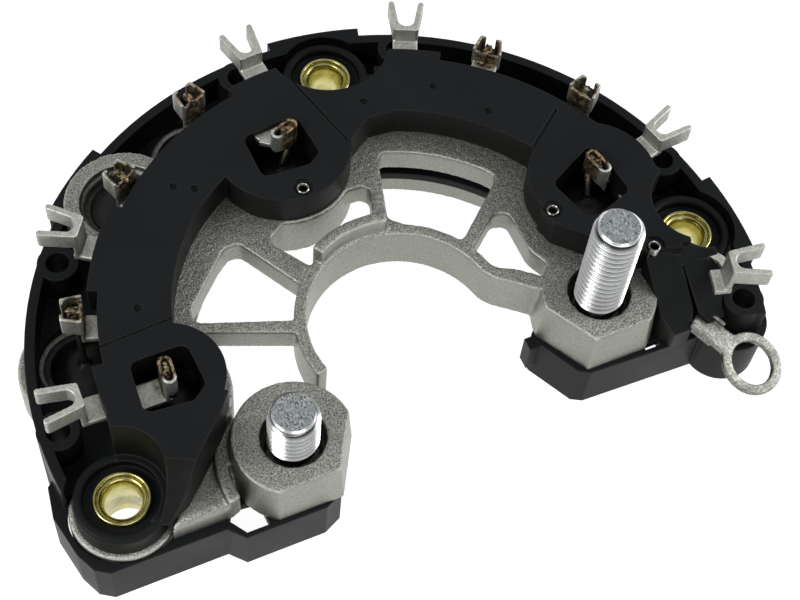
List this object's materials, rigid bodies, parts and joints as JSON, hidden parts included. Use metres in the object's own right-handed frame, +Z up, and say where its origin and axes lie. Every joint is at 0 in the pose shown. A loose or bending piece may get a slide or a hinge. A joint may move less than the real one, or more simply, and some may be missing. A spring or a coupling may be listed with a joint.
{
  "type": "alternator rectifier",
  "caption": "Crescent-shaped alternator rectifier: two cast heat sinks, black moulded base and carrier, pressed diodes, fork terminals, bushes and threaded output studs.",
  "frame": {"origin": "on the hub axis, at the level of the base's lowest edge", "axes": "+Z up along the hub axis towards the studs' free ends, +X along the open front edge towards the ring terminal, +Y towards the closed back of the crescent"},
  "size_m": [0.1207, 0.0906, 0.037],
  "materials": {
    "cast_aluminium": "shot-blasted casting",
    "black_moulding": "semi-matt glass-filled moulding",
    "brass_bush": "turned",
    "zinc_plated_steel": "zinc plated",
    "rivet_steel": "dull",
    "diode_cup_metal": "nickel plated",
    "diode_potting": "cast resin",
    "tinned_wire": "tinned",
    "tinned_strip": "tinned copper"
  },
  "bodies": {
    "root": {"carrier_rivet_1": "rivet_steel", "carrier_rivet_2": "rivet_steel", "carrier_rivet_3": "rivet_steel", "insulating_base": "black_moulding", "mounting_bush_left": "brass_bush", "mounting_bush_right": "brass_bush", "mounting_bush_top": "brass_bush", "negative_diode_1_cup": "diode_cup_metal", "negative_diode_1_lead": "tinned_wire", "negative_diode_1_potting": "diode_potting", "negative_diode_2_cup": "diode_cup_metal", "negative_diode_2_lead": "tinned_wire", "negative_diode_2_potting": "diode_potting", "negative_diode_3_cup": "diode_cup_metal", "negative_diode_3_lead": "tinned_wire", "negative_diode_3_potting": "diode_potting", "negative_diode_4_cup": "diode_cup_metal", "negative_diode_4_lead": "tinned_wire", "negative_diode_4_potting": "diode_potting", "negative_heat_sink": "cast_aluminium", "output_stud_long": "zinc_plated_steel", "output_stud_short": "zinc_plated_steel", "phase_strip_u": "tinned_strip", "phase_strip_v": "tinned_strip", "phase_strip_w": "tinned_strip", "positive_diode_1_cup": "diode_cup_metal", "positive_diode_1_lead": "tinned_wire", "positive_diode_1_potting": "diode_potting", "positive_diode_2_cup": "diode_cup_metal", "positive_diode_2_lead": "tinned_wire", "positive_diode_2_potting": "diode_potting", "positive_diode_3_cup": "diode_cup_metal", "positive_diode_3_lead": "tinned_wire", "positive_diode_3_potting": "diode_potting", "positive_diode_4_cup": "diode_cup_metal", "positive_diode_4_lead": "tinned_wire", "positive_diode_4_potting": "diode_potting", "positive_heat_sink": "cast_aluminium", "ring_terminal": "tinned_strip", "star_point_strip": "tinned_strip", "terminal_carrier": "black_moulding"}
  },
  "joints": []
}
